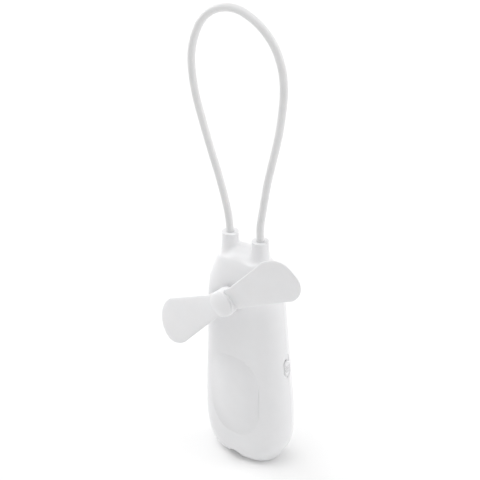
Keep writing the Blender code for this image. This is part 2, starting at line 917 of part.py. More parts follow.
def make_spring(name, x, low, flipped, material):
    """Conical spring that presses on a cell's flat end, wide end on its contact plate."""
    count = int(spring_turns * spring_steps)
    points = []
    for k in range(count + 1):
        share = k / count
        turn = 2 * math.pi * spring_turns * share
        radius = spring_wide_radius + (spring_narrow_radius - spring_wide_radius) * share
        rise = spring_wire / 2 + (spring_height - spring_wire) * share
        height = spring_height - rise if flipped else rise
        points.append((x + radius * math.cos(turn), cell_y + radius * math.sin(turn), low + height))
    return tube(name, points, spring_wire, 1, material)


# Motor, shaft and rotor

def make_motor(steel, plastic, bronze, brass):
    """Flat-sided motor can with its end cap, front bush and two side terminals."""
    centre = (0.0, fan_height)
    can = prism(motor_outline(0.0), "Y", motor_front, motor_can_rear, centre)
    cut(can, rod(running_bore, "Y", motor_front - cut_overrun,
                 motor_front + shaft_seat + fit_gap, centre, small_steps))
    finish(can, "motor_can", steel)
    cap = prism(motor_outline(0.0), "Y", motor_can_rear + fit_gap, motor_rear, centre)
    finish(cap, "motor_end_cap", plastic)
    bush_rear = motor_front - fit_gap
    bush = rod(bush_diameter, "Y", bush_rear - bush_length, bush_rear, centre)
    cut(bush, rod(running_bore, "Y", -cut_overrun, cut_overrun, centre, small_steps))
    finish(bush, "motor_bush", bronze)
    for name, side in (("terminal_left", -1), ("terminal_right", 1)):
        near = motor_width / 2 + fit_gap
        limits = sorted((side * near, side * (near + terminal_sheet)))
        terminal = block(
            limits, (motor_rear - terminal_length, motor_rear),
            (fan_height - terminal_width / 2, fan_height + terminal_width / 2),
        )
        finish(terminal, name, brass)


def make_shaft(material):
    """Shaft from the motor into the hub."""
    shaft = rod(shaft_diameter, "Y", shaft_front, motor_front + shaft_seat,
                (0.0, fan_height), small_steps)
    return finish(shaft, "motor_shaft", material)


def turn_to_blade(side):
    """Transform from a blade's own frame, span along +X, to its place on the rotor."""
    turn = blade_rest_angle + (0 if side > 0 else math.pi)
    return (
        Matrix.Translation((0.0, blade_y, fan_height))
        @ Matrix.Rotation(-turn, 4, "Y") @ Matrix.Rotation(blade_pitch, 4, "X")
    )


def make_hub(material):
    """Hub with a chamfered rim, a hollow back, a shaft bore and a pitched slot for each blade."""
    centre = (0.0, fan_height)
    radius = hub_diameter / 2
    boss = hub_boss_diameter / 2
    pin_hole = cap_pin_diameter / 2 + fit_gap
    hollow = hub_rear - hub_recess_depth
    profile = (
        (bore_end, running_bore / 2), (hub_rear, running_bore / 2),
        (hub_rear, boss), (hollow, boss), (hollow, radius - hub_rim), (hub_rear, radius - hub_rim),
        (hub_rear, radius - hub_edge), (hub_rear - hub_edge, radius),
        (hub_front + hub_edge, radius), (hub_front, radius - hub_edge),
        (hub_front, pin_hole), (pin_seat, pin_hole),
    )
    hub = turned(profile, "Y", centre, fine_steps)
    half = half_chord(hub_diameter / 2) + fit_gap
    thick = blade_thickness / 2 + fit_gap
    for side in (-1, 1):
        slot = block((blade_root_radius - fit_gap, cut_overrun), (-thick, thick), (-half, half))
        slot.data.transform(turn_to_blade(side))
        cut(hub, slot)
    return finish(hub, "rotor_hub", material)


def half_chord(reach):
    """Half the blade's chord at a distance from the axis, up to where it is widest."""
    widest = rotor_radius * blade_widest_share
    share = (reach - blade_root_radius) / (widest - blade_root_radius)
    return (blade_root_chord + (blade_chord - blade_root_chord) * share ** blade_growth_power) / 2


def make_blade(name, side, material):
    """Soft paddle with round edges, lofted from its root in the hub to its elliptical tip."""
    widest = rotor_radius * blade_widest_share
    stations = []
    for share in blade_inner_shares:
        reach = blade_root_radius + (widest - blade_root_radius) * share
        stations.append((reach, half_chord(reach), blade_thickness / 2))
    for angle in blade_tip_angles:
        thin = 1 - (1 - blade_tip_thickness_share) * (1 - math.cos(angle))
        stations.append((
            widest + (rotor_radius - widest) * math.sin(angle),
            blade_chord / 2 * math.cos(angle), blade_thickness / 2 * thin,
        ))
    rings = []
    for reach, half, thick in stations:
        outline = oval(2 * half, 2 * thick, blade_edge_power, blade_steps)
        rings.append([(reach, b, a) for a, b in outline])
    blade = loft(rings)
    blade.data.transform(turn_to_blade(side))
    return finish(blade, name, material)


def make_spinner_cap(material):
    """Domed cap with a pin that seats in the front of the hub."""
    radius = hub_diameter / 2
    pin = cap_pin_diameter / 2
    profile = [(pin_rear, pin), (cap_rear, pin), (cap_rear, radius - hub_edge)]
    for k in range(dome_steps):
        turn = math.pi / 2 * k / dome_steps
        profile.append((
            cap_rear - cap_skirt - cap_rise * math.sin(turn), (radius - hub_edge) * math.cos(turn),
        ))
    return finish(turned(profile, "Y", (0.0, fan_height), fine_steps), "spinner_cap", material)


# Switch

def make_switch(black, steel, phenolic):
    """Knob and lever that slide together, and the fixed frame and base of the switch."""
    rest = switch_height - switch_travel / 2
    centre = (parting_y, rest)
    knob_top = switch_face_x + knob_proud
    rings = []
    for shrink, x in ((0.0, knob_x), (0.0, knob_top - edge_break), (edge_break, knob_top)):
        outline = rounded(knob_width - 2 * shrink, knob_length - 2 * shrink,
                          knob_width / 2 - shrink, small_steps // 2)
        rings.append([placed("X", parting_y + a, rest + b, x) for a, b in outline])
    knob = loft(rings)
    stem_half = lever_stem_width / 2
    stem_reach = lever_stem_length / 2
    cut(knob, block(
        (knob_x - fit_gap, knob_x + knob_pocket_depth),
        (parting_y - stem_half - fit_gap, parting_y + stem_half + fit_gap),
        (rest - stem_reach - fit_gap, rest + stem_reach + fit_gap),
    ))
    for number in (-1, 0, 1):
        z = rest + number * knob_groove_pitch
        cut(knob, block(
            (knob_top - knob_groove_depth, knob_top + cut_overrun),
            (parting_y - cut_overrun, parting_y + cut_overrun),
            (z - knob_groove_width / 2, z + knob_groove_width / 2),
        ))
    finish(knob, "switch_knob", black)

    inner_half = switch_frame_width / 2 - switch_sheet
    base_top = switch_inner_x + switch_base_thickness
    plate = switch_outer_x - switch_sheet
    lever = block(
        (base_top + fit_gap, plate - fit_gap),
        (parting_y - inner_half + fit_gap, parting_y + inner_half - fit_gap),
        (rest - lever_length / 2, rest + lever_length / 2),
    )
    join(lever, block(
        (plate - 2 * fit_gap, knob_x + knob_pocket_depth - fit_gap),
        (parting_y - stem_half, parting_y + stem_half), (rest - stem_reach, rest + stem_reach),
    ))
    finish(lever, "switch_lever", black)

    reach = switch_frame_length / 2
    frame = block(
        (switch_inner_x, switch_outer_x),
        (parting_y - switch_frame_width / 2, parting_y + switch_frame_width / 2),
        (switch_height - reach, switch_height + reach),
    )
    slot_reach = stem_reach + switch_travel / 2 + fit_gap
    cut(
        frame,
        block(
            (switch_inner_x - cut_overrun, plate), (parting_y - inner_half, parting_y + inner_half),
            (switch_height - cut_overrun, switch_height + cut_overrun),
        ),
        block(
            (plate - fit_gap, switch_outer_x + cut_overrun),
            (parting_y - stem_half - fit_gap, parting_y + stem_half + fit_gap),
            (switch_height - slot_reach, switch_height + slot_reach),
        ),
    )
    finish(frame, "switch_frame", steel)
    base_reach = reach + switch_base_overhang
    base = block(
        (switch_inner_x, base_top),
        (parting_y - inner_half + fit_gap, parting_y + inner_half - fit_gap),
        (switch_height - base_reach, switch_height + base_reach),
    )
    finish(base, "switch_base", phenolic)
    return knob, lever


# Screws, sleeves, cord and wires

def make_screw(name, x, z, material):
    """Pan-head screw with a cross recess, seated in the rear shell and reaching the front one."""
    seat = rear_parting + screw_seat_depth + fit_gap
    shank = screw_diameter / 2
    head = screw_head_diameter / 2
    tip = rear_parting - screw_reach
    profile = (
        (tip, shank / 2), (tip + shank, shank), (seat, shank), (seat, head),
        (seat + screw_head_height - screw_head_dome, head), (seat + screw_head_height, head / 2),
    )
    screw = turned(profile, "Y", (x, z), small_steps)
    floor = seat + screw_head_height - screw_slot_depth
    narrow = screw_slot_width / 2
    wide = screw_slot_length / 2
    cross = block((x - wide, x + wide), (floor, floor + cut_overrun), (z - narrow, z + narrow))
    join(cross, block((x - narrow, x + narrow), (floor, floor + cut_overrun), (z - wide, z + wide)))
    return finish(cut(screw, cross), name, material)


def make_ferrule(name, side, material):
    """Sleeve crimped on an end of the cord, caught under the horn's shoulder."""
    centre = (side * horn_spacing / 2, parting_y)
    sleeve = rod(ferrule_diameter, "Z", ferrule_bottom, ferrule_top, centre)
    cut(sleeve, rod(horn_bore, "Z", -cut_overrun, housing_height + cut_overrun, centre))
    return finish(sleeve, name, material)


def make_cord(material):
    """Lanyard cord, one smooth loop between the horns."""
    path = smooth_path(cord_route, 8)
    length = evenly(path, 2)[1]
    points = evenly(path, round(length / cord_spacing) + 1)[0]
    print("lanyard cord length", round(length, 4))
    return tube("lanyard_cord", points, cord_diameter, 2, material)


def make_wire(name, route, material):
    """Insulated wire through a few places inside the housing."""
    return tube(name, evenly(smooth_path(route, 8), wire_point_count)[0], wire_diameter, 1, material)


def make_wires(red, black):
    """Supply, switched and return wires between the contacts, the switch and the motor."""
    tab_end = tray_top + contact_tab_height + fit_gap
    tab_y = tab_front() + contact_sheet / 2
    wire = wire_diameter / 2
    switch_end = switch_height + switch_frame_length / 2 + switch_base_overhang + fit_gap
    switch_mid = switch_inner_x + switch_base_thickness / 2
    terminal_x = motor_width / 2 + terminal_sheet + 2 * fit_gap + wire
    terminal_y = motor_rear - terminal_length / 2
    past_boss = side_screw_x + head_bore / 2 + boss_wall + wire + fit_gap
    make_wire("wire_supply", (
        (-cell_x, tab_y, tab_end),
        (-cell_x, tab_y, tab_end + 2 * wire_diameter),
        (0.0, parting_y, tab_end + 3 * wire_diameter),
        (cell_x, cell_y, tab_end + 2 * wire_diameter),
        (switch_mid - wire_diameter, cell_y, tray_top + 2 * wire_diameter),
    ), red)
    make_wire("wire_switched", (
        (switch_mid, parting_y, switch_end),
        (switch_mid, parting_y, switch_end + 2 * wire_diameter),
        (past_boss, cell_y, side_screw_z),
        (past_boss - wire_diameter, cell_y + wire_diameter, fan_height - motor_flats / 2),
        (terminal_x + wire_diameter, terminal_y, fan_height - terminal_width),
        (terminal_x, terminal_y, fan_height),
    ), red)
    make_wire("wire_return", (
        (cell_x, tab_y, tab_end),
        (cell_x, tab_y, tab_end + wire_diameter),
        (0.0, cell_y, side_screw_z + 2 * wire_diameter),
        (-terminal_x - wire_diameter, terminal_y, fan_height - motor_flats / 2),
        (-terminal_x, terminal_y, fan_height),
    ), black)


def build():
    """Clear the scene and make every piece."""
    for item in list(bpy.data.objects):
        bpy.data.objects.remove(item)
    white = surface("housing_white", (0.86, 0.86, 0.85), 0.3)
    soft_white = surface("blade_white", (0.84, 0.84, 0.83), 0.45)
    grey_cord = surface("cord_grey", (0.62, 0.62, 0.61), 0.75)
    frosted = surface("knob_grey", (0.7, 0.7, 0.69), 0.4)
    black = surface("moulded_black", (0.03, 0.03, 0.03), 0.5)
    tray_grey = surface("tray_white", (0.72, 0.72, 0.7), 0.5)
    steel = surface("zinc_steel", (0.6, 0.6, 0.6), 0.35, 1.0)
    spring_steel = surface("nickel_spring", (0.7, 0.68, 0.62), 0.3, 1.0)
    brass = surface("brass", (0.78, 0.6, 0.28), 0.35, 1.0)
    bronze = surface("bush_bronze", (0.6, 0.42, 0.22), 0.45, 1.0)
    label = surface("cell_wrap", (0.05, 0.16, 0.1), 0.35)
    phenolic = surface("phenolic_brown", (0.25, 0.13, 0.07), 0.6)
    red = surface("wire_red", (0.6, 0.03, 0.03), 0.5)

    make_housing(white)
    door = make_door(white)
    make_tray(tray_grey)
    make_cell("cell_left", -cell_x, False, label)
    make_cell("cell_right", cell_x, True, label)
    make_contacts(steel)
    make_spring("spring_left", -cell_x, cell_bottom, False, spring_steel)
    make_spring("spring_right", cell_x, cell_top - spring_height, True, spring_steel)
    make_motor(steel, black, bronze, brass)
    rotor = (
        make_shaft(steel), make_hub(white), make_blade("blade_right", 1, soft_white),
        make_blade("blade_left", -1, soft_white), make_spinner_cap(white),
    )
    knob, lever = make_switch(frosted, steel, phenolic)
    names = ("screw_left", "screw_right", "screw_top")
    for name, (x, z) in zip(names, screw_places()):
        make_screw(name, x, z, steel)
    make_ferrule("ferrule_left", -1, brass)
    make_ferrule("ferrule_right", 1, brass)
    make_cord(grey_cord)
    make_wires(red, black)

    carry("rotor_axis", (0.0, hub_rear, fan_height), rotor)
    carry("switch_travel_axis", (knob_x, parting_y, switch_height - switch_travel / 2),
          (knob, lever))
    carry("door_pull_axis", (0.0, rear_depth, door_centre()[1]), (door,))


build()
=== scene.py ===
import math

import bmesh
import bpy
from mathutils import Matrix, Vector


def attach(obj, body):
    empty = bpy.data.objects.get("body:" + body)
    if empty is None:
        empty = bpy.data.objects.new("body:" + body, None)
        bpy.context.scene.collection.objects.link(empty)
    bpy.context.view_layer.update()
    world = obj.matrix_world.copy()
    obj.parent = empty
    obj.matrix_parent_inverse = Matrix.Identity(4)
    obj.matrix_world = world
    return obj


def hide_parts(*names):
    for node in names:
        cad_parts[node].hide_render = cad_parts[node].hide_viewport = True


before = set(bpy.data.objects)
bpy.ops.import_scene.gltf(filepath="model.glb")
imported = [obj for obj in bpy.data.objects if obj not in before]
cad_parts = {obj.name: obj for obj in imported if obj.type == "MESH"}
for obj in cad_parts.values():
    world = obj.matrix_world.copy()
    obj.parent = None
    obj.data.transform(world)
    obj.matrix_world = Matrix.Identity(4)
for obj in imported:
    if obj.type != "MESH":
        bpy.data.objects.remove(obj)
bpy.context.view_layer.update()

# Camera, from the fit to the photograph
view_azimuth = math.radians(38.86)
view_elevation = math.radians(28.06)
view_roll = math.radians(1.96)
view_distance = 0.4135
view_height = 0.108
view_side = -0.00182
view_lens = 74.57

# Sizes repeated from the part's source, in metres
wall = 0.002
base_trim = 0.0007
half_width = 0.022767
front_depth = 0.0098
rear_depth = 0.0124
parting_y = 0.0006
shoulder_height = 0.1032
horn_height = 0.0064
housing_height = 0.1096
roof_sag = 0.0024
roof_crown = 0.0014
horn_spacing = 0.0157
horn_radius = 0.0036
horn_bore = 0.0037
fan_height = 0.085
pad_centre = 0.0352
pad_face = -0.0115524
pad_bow_radius = 0.087
pad_lean = 0.045
pad_power = 2.5
tray_half_width = 0.0154
tray_bottom = 0.005
tray_top = 0.062
cell_x = 0.0074
cell_y = 0.00115
cell_radius = 0.0071
door_thickness = 0.001
door_ledge = 0.0018
door_middle = 0.0345
switch_height = 0.0528
screw_places = ((-0.01218, 0.0705), (0.01218, 0.0705), (0.0, 0.09455))
head_bore = 0.0042
screw_seat = 0.00415
hub_rear = -0.011
hub_front = -0.017
hub_radius = 0.00575
blade_y = -0.0146
blade_rest = math.radians(34.2)
blade_pitch = math.radians(14.0)
rotor_radius = 0.0438
widest_share = 0.76
cord_diameter = 0.0031

# Forms read more finely from the photograph than the part's source has them
roof_front_drop = 0.0026
mouth_radius = 0.00161
mouth_start = 0.0022
mouth_depth = 0.0019
mouth_rim = 0.0001
mouth_flare = 0.0005
pad_width = 0.0259
pad_height = 0.039
arch_width = 0.009
arch_height = 0.0047
arch_front = 0.0048
arch_back = 0.0015
arch_cover_half = 0.0058
recess_floor = 0.02015
recess_length = 0.0107
recess_width = 0.0036

# The pad's sloped edge, as growth of its outline and height over its face, at crest and foot
pad_edge = ((-0.0008, 0.0008), (0.0024, -0.002))

# Sides of the switch's recess, as growth of its outline and place, from the floor outward
recess_sides = ((0.0, recess_floor), (0.0005, 0.0208), (0.0009, 0.0212), (0.001, 0.03))

# How far a cutting tool passes a surface, and places outside the housing that tools reach
over = 0.02
past_rear = 0.03
past_sides = (-0.05, 0.05)
past_ends = (-0.01, 0.12)

# Route of the cord's middle line, repeated from the part's source
cord_route = (
    (-0.00785, 0.0006, 0.0944),
    (-0.00785, 0.0006, 0.1010),
    (-0.00785, 0.0006, 0.1075),
    (-0.0083, 0.0004, 0.1166),
    (-0.0099, 0.0002, 0.1250),
    (-0.0126, 0.0000, 0.1352),
    (-0.0153, -0.0003, 0.1440),
    (-0.0186, -0.0008, 0.1560),
    (-0.0211, -0.0014, 0.1668),
    (-0.0221, -0.0019, 0.1768),
    (-0.0214, -0.0025, 0.1850),
    (-0.0190, -0.0030, 0.1923),
    (-0.0150, -0.0034, 0.1990),
    (-0.0096, -0.0037, 0.2036),
    (-0.0030, -0.0039, 0.2060),
    (0.0036, -0.0039, 0.2060),
    (0.0098, -0.0038, 0.2036),
    (0.0150, -0.0035, 0.1998),
    (0.0194, -0.0031, 0.1942),
    (0.0219, -0.0025, 0.1868),
    (0.0224, -0.0019, 0.1790),
    (0.0214, -0.0014, 0.1705),
    (0.0190, -0.0008, 0.1590),
    (0.0150, -0.0003, 0.1452),
    (0.0124, 0.0000, 0.1360),
    (0.0099, 0.0002, 0.1245),
    (0.0082, 0.0004, 0.1160),
    (0.00785, 0.0006, 0.1075),
    (0.00785, 0.0006, 0.1010),
    (0.00785, 0.0006, 0.0944),
)

# Housing rings as shares of the height, half width, front depth, rear depth and roof sag
ring_shares = (
    (0.0, 0.718, 0.833, 0.471, 0.0),
    (0.0426, 0.726, 1.3, 0.806, 0.0),
    (0.106, 1.005, 1.295, 0.85, 0.0),
    (0.2955, 1.0, 1.143, 1.0, 0.0),
    (0.584, 0.885, 1.045, 0.916, 0.0),
    (0.796, 0.85, 1.021, 0.807, 0.0),
    (0.892, 0.746, 0.898, 0.806, 0.25),
    (0.954, 0.63, 0.76, 0.677, 0.75),
    (0.98, 0.6, 0.66, 0.6, 0.9),
    (1.0, 0.53, 0.54, 0.46, 0.9),
)

# Horn rings as shares of the horn's radius and height, and the foot that eases into the roof
horn_loops = ((1.05, 0.24), (1.0, 0.63), (1.0, 1.0), (0.55, 1.0))
horn_foot_share = 1.14
horn_foot_rise = 0.06
horn_foot_ease = 0.4


# Camera

def set_camera():
    """Camera of the photograph, turned by its small roll."""
    back = Vector((
        math.sin(view_azimuth) * math.cos(view_elevation),
        -math.cos(view_azimuth) * math.cos(view_elevation),
        math.sin(view_elevation),
    ))
    right = Vector((math.cos(view_azimuth), math.sin(view_azimuth), 0.0))
    up = back.cross(right)
    across = right * math.cos(view_roll) - up * math.sin(view_roll)
    upward = right * math.sin(view_roll) + up * math.cos(view_roll)
    place = Vector((0.0, 0.0, view_height)) + view_side * right + view_distance * back
    turn = Matrix((across, upward, back)).transposed().to_4x4()
    data = bpy.data.cameras.new("camera")
    data.lens = view_lens
    data.sensor_width = 36.0
    data.clip_start = 0.01
    data.clip_end = 50.0
    camera = bpy.data.objects.new("camera", data)
    camera.matrix_world = Matrix.Translation(place) @ turn
    bpy.context.scene.collection.objects.link(camera)
    bpy.context.scene.camera = camera


# Shape helpers

# Share of a step by which round outlines are turned, so that no point lies on an axis
first_turn = 0.3


def linked(name, data):
    """Put data into the scene as a new object."""
    piece = bpy.data.objects.new(name, data)
    bpy.context.scene.collection.objects.link(piece)
    return piece


def solid(name, shape):
    """Turn a bmesh into an object with its faces pointing out."""
    bmesh.ops.recalc_face_normals(shape, faces=shape.faces)
    mesh = bpy.data.meshes.new(name)
    shape.to_mesh(mesh)
    shape.free()
    return linked(name, mesh)


def loft(rings, name="loft"):
    """Close a skin over rings that have the same number of points."""
    shape = bmesh.new()
    loops = [[shape.verts.new(point) for point in ring] for ring in rings]
    for lower, upper in zip(loops, loops[1:]):
        for k, corner in enumerate(lower):
            j = (k + 1) % len(lower)
            shape.faces.new((corner, lower[j], upper[j], upper[k]))
    shape.faces.new(loops[0])
    shape.faces.new(loops[-1])
    return solid(name, shape)


def placed(axis, a, b, along):
    """Point from its place along an axis and its two places across it."""
    return {"X": (along, a, b), "Y": (a, along, b), "Z": (a, b, along)}[axis]


def prism(outline, axis, low, high, centre=(0.0, 0.0)):
    """Extrude a flat outline along an axis."""
    return loft([
        [placed(axis, centre[0] + a, centre[1] + b, along) for a, b in outline]
        for along in (low, high)
    ])


def block(x, y, z):
    """Box between two places on each axis."""
    return prism(((x[0], y[0]), (x[1], y[0]), (x[1], y[1]), (x[0], y[1])), "Z", z[0], z[1])


def circle(radius, steps):
    turns = [2 * math.pi * (k + first_turn) / steps for k in range(steps)]
    return [(radius * math.cos(turn), radius * math.sin(turn)) for turn in turns]


def turned(profile, axis, centre, steps, name="turned"):
    """Revolve a profile of (along, radius) points, with a flat face at each end."""
    rings = []
    for along, radius in profile:
        rings.append([
            placed(axis, centre[0] + a, centre[1] + b, along) for a, b in circle(radius, steps)
        ])
    return loft(rings, name)


def rounded(width, height, radius, steps):
    """Outline of a rectangle with round corners, without points that almost coincide."""
    closest = radius / 60
    outline = []
    for quarter in range(4):
        side = (1 if quarter in (0, 3) else -1, 1 if quarter < 2 else -1)
        for k in range(steps + 1):
            turn = math.pi / 2 * (quarter + k / steps)
            a = side[0] * (width / 2 - radius) + radius * math.cos(turn)
            b = side[1] * (height / 2 - radius) + radius * math.sin(turn)
            if not outline or math.dist(outline[-1], (a, b)) > closest:
                outline.append((a, b))
    return outline


def oval(width, height, power, steps):
    """Outline of a superellipse."""
    outline = []
    for k in range(steps):
        turn = 2 * math.pi * (k + first_turn) / steps
        across = math.cos(turn)
        up = math.sin(turn)
        outline.append((
            width / 2 * math.copysign(abs(across) ** (2 / power), across),
            height / 2 * math.copysign(abs(up) ** (2 / power), up),
        ))
    return outline


def bake(piece):
    """Put the evaluated shape in place of the mesh and its modifiers."""
    graph = bpy.context.evaluated_depsgraph_get()
    mesh = bpy.data.meshes.new_from_object(piece.evaluated_get(graph))
    before = piece.data
    piece.modifiers.clear()
    piece.data = mesh
    bpy.data.meshes.remove(before)


def flatten(piece):
    """Split every face into triangles, which are flat."""
    shape = bmesh.new()
    shape.from_mesh(piece.data)
    bmesh.ops.triangulate(shape, faces=shape.faces)
    shape.to_mesh(piece.data)
    shape.free()
    return piece


def combine(piece, tools, operation):
    """Cut, join or keep a piece with each tool in turn, and delete the tools."""
    for tool in tools:
        modifier = piece.modifiers.new(operation, "BOOLEAN")
        modifier.operation = operation
        modifier.solver = "EXACT"
        modifier.object = tool
        bake(piece)
        bpy.data.objects.remove(tool)
    return piece


def cut(piece, *tools):
    return combine(piece, tools, "DIFFERENCE")


def join(piece, *tools):
    return combine(piece, tools, "UNION")


def keep(piece, *tools):
    return combine(piece, tools, "INTERSECT")


def smooth_path(route, samples):
    """Dense points on a smooth curve that passes through every point of a route."""
    stops = [Vector(point) for point in route]
    stops = [2 * stops[0] - stops[1]] + stops + [2 * stops[-1] - stops[-2]]
    path = []
    for a, b, c, d in zip(stops, stops[1:], stops[2:], stops[3:]):
        for k in range(samples):
            t = k / samples
            path.append(0.5 * (
                2 * b + (c - a) * t + (2 * a - 5 * b + 4 * c - d) * t ** 2
                + (3 * b - a - 3 * c + d) * t ** 3
            ))
    return path + [stops[-2]]


def tube(name, points, diameter, resolution):
    """Round tube with filled ends along a line of points."""
    curve = bpy.data.curves.new(name, "CURVE")
    curve.dimensions = "3D"
    curve.bevel_depth = diameter / 2
    curve.bevel_resolution = resolution
    curve.use_fill_caps = True
    spline = curve.splines.new("POLY")
    spline.points.add(len(points) - 1)
    for spot, point in zip(spline.points, points):
        spot.co = (*point, 1.0)
    return linked(name, curve)


def dress(piece, name, material, body, nodes=(), sharp=40):
    """Name a piece, give it its material and hand it to its body in place of its nodes."""
    piece.name = name
    piece.data.name = name
    piece.data.materials.clear()
    piece.data.materials.append(material)
    if piece.type == "MESH":
        piece.data.shade_smooth()
        piece.data.set_sharp_from_angle(angle=math.radians(sharp))
    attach(piece, body)
    if nodes:
        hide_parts(*nodes)
    return piece


# Materials

# Colour drift and uneven gloss are this many times coarser than a surface's grain
drift_ratio = 14
gloss_ratio = 5

# Depth of the grain, reach of light under a soft surface, and blur of a sleeve's band
grain_depth = 0.0001
soft_depth = 0.0015
band_edge = 0.0001


def moulded(name, colour, shift, roughness, spread, grain, bump, metallic=0.0, edge=0.0,
            soft=0.0, stretch=(1.0, 1.0, 1.0)):
    """Procedural surface: slight colour drift, uneven gloss, fine grain and soft edges."""
    material = bpy.data.materials.new(name)
    material.use_nodes = True
    tree = material.node_tree
    nodes = tree.nodes
    links = tree.links
    shader = nodes["Principled BSDF"]
    shader.inputs["Metallic"].default_value = metallic
    if soft:
        shader.inputs["Subsurface Weight"].default_value = soft
        shader.inputs["Subsurface Radius"].default_value = (1.0, 0.9, 0.85)
        shader.inputs["Subsurface Scale"].default_value = soft_depth
    place = nodes.new("ShaderNodeTexCoord")
    mapping = nodes.new("ShaderNodeMapping")
    mapping.inputs["Scale"].default_value = stretch
    links.new(place.outputs["Object"], mapping.inputs["Vector"])
    drift = nodes.new("ShaderNodeTexNoise")
    drift.inputs["Scale"].default_value = grain / drift_ratio
    drift.inputs["Detail"].default_value = 3.0
    links.new(mapping.outputs["Vector"], drift.inputs["Vector"])
    tint = nodes.new("ShaderNodeValToRGB")
    low = [channel * (1 - shift) for channel in colour]
    high = [min(1.0, channel * (1 + shift)) for channel in colour]
    tint.color_ramp.elements[0].position = 0.3
    tint.color_ramp.elements[0].color = (*low, 1.0)
    tint.color_ramp.elements[1].position = 0.7
    tint.color_ramp.elements[1].color = (*high, 1.0)
    links.new(drift.outputs["Fac"], tint.inputs["Fac"])
    links.new(tint.outputs["Color"], shader.inputs["Base Color"])
    gloss = nodes.new("ShaderNodeTexNoise")
    gloss.inputs["Scale"].default_value = grain / gloss_ratio
    gloss.inputs["Detail"].default_value = 4.0
    links.new(mapping.outputs["Vector"], gloss.inputs["Vector"])
    reach = nodes.new("ShaderNodeMapRange")
    reach.inputs["To Min"].default_value = roughness - spread
    reach.inputs["To Max"].default_value = roughness + spread
    links.new(gloss.outputs["Fac"], reach.inputs["Value"])
    links.new(reach.outputs["Result"], shader.inputs["Roughness"])
    skin = nodes.new("ShaderNodeTexNoise")
    skin.inputs["Scale"].default_value = grain
    skin.inputs["Detail"].default_value = 2.0
    links.new(mapping.outputs["Vector"], skin.inputs["Vector"])
    relief = nodes.new("ShaderNodeBump")
    relief.inputs["Strength"].default_value = bump
    relief.inputs["Distance"].default_value = grain_depth
    links.new(skin.outputs["Fac"], relief.inputs["Height"])
    if edge:
        soften = nodes.new("ShaderNodeBevel")
        soften.samples = 4
        soften.inputs["Radius"].default_value = edge
        links.new(soften.outputs["Normal"], relief.inputs["Normal"])
    links.new(relief.outputs["Normal"], shader.inputs["Normal"])
    return material


def cell_sleeve(name, band_low, band_high):
    """Printed sleeve of a cell, dark with a plain metal-coloured band at its raised end."""
    material = moulded(name, (0.03, 0.1, 0.07), shift=0.06, roughness=0.3, spread=0.05,
                       grain=900, bump=0.05)
    tree = material.node_tree
    nodes = tree.nodes
    place = nodes.new("ShaderNodeTexCoord")
    split = nodes.new("ShaderNodeSeparateXYZ")
    tree.links.new(place.outputs["Object"], split.inputs["Vector"])
    band = nodes.new("ShaderNodeMapRange")
    band.interpolation_type = "SMOOTHSTEP"
    middle = (band_low + band_high) / 2
    offset = nodes.new("ShaderNodeMath")
    offset.operation = "SUBTRACT"
    offset.inputs[1].default_value = middle
    tree.links.new(split.outputs["Z"], offset.inputs[0])
    distance = nodes.new("ShaderNodeMath")
    distance.operation = "ABSOLUTE"
    tree.links.new(offset.outputs["Value"], distance.inputs[0])
    half = (band_high - band_low) / 2
    band.inputs["From Min"].default_value = half - band_edge
    band.inputs["From Max"].default_value = half + band_edge
    band.inputs["To Min"].default_value = 1.0
    band.inputs["To Max"].default_value = 0.0
    tree.links.new(distance.outputs["Value"], band.inputs["Value"])
    blend = nodes.new("ShaderNodeMix")
    blend.data_type = "RGBA"
    shader = nodes["Principled BSDF"]
    under = shader.inputs["Base Color"].links[0].from_socket
    tree.links.new(band.outputs["Result"], blend.inputs["Factor"])
    tree.links.new(under, blend.inputs[6])
    blend.inputs[7].default_value = (0.62, 0.6, 0.56, 1.0)
    tree.links.new(blend.outputs[2], shader.inputs["Base Color"])
    return material


# Housing

# Columns of the housing's cage, and their places as shares of a ring's half width and depth
ring_columns = (
    (-2, -1), (-1, -1), (0, -1), (1, -1), (2, -1), (2, 0),
    (2, 1), (1, 1), (0, 1), (-1, 1), (-2, 1), (-2, 0),
)
inner_column = 0.43
side_column = 1.085
corner_column = 0.83
corner_depth = 0.78

# Subdivision levels of the outer form, of the forms inside it and of the grooves' floor
outer_level = 4
inner_level = 2
groove_level = 3
rim_crease = 0.8

# Points round a bore, along the pad's face, round its edge and round the arch
round_steps = 48
pad_face_steps = 64
pad_edge_steps = 144
arch_steps = 128

# Inner sizes of the housing and its door
column_bottom = 0.0944
column_top = 0.1022
column_radius = 0.0038
horn_hole_bottom = 0.094
slot_width = 0.0016
slot_length = 0.0052
slot_span = (0.0157, 0.0207)
shaft_hole_radius = 0.0019
screw_sleeve = 0.001
parting_gap = 0.00002
door_side_room = 0.0011
door_corner = 0.004
door_gap = 0.00012
door_seat_room = 0.0002
rib_half_width = 0.0006
rib_half_length = 0.015
rib_room = 0.0003
rib_top = 0.02
groove_count = 4
groove_first = 0.0225
groove_pitch = 0.002
groove_length = 0.013
groove_width = 0.0009
groove_depth = 0.0004


def cage_point(column, ring, top):
    """Corner of the housing's cage at one column of one ring."""
    i, j = column
    z, half, front, rear, sag = ring
    side = math.copysign(1, i)
    middle = horn_spacing / 2 if top else half * inner_column
    if j == 0:
        x = side * half * side_column if abs(i) == 2 else i * middle
        y = parting_y
    else:
        depth = rear if j > 0 else front
        x = side * half * corner_column if abs(i) == 2 else i * middle
        y = j * depth * (corner_depth if abs(i) == 2 else 1)
    rise = 0.0
    if top and column == (0, 1):
        rise = roof_crown
    elif top and column in ((-1, -1), (1, -1)):
        rise = -roof_front_drop
    return (x, y, z + rise - sag * (x / half) ** 2)


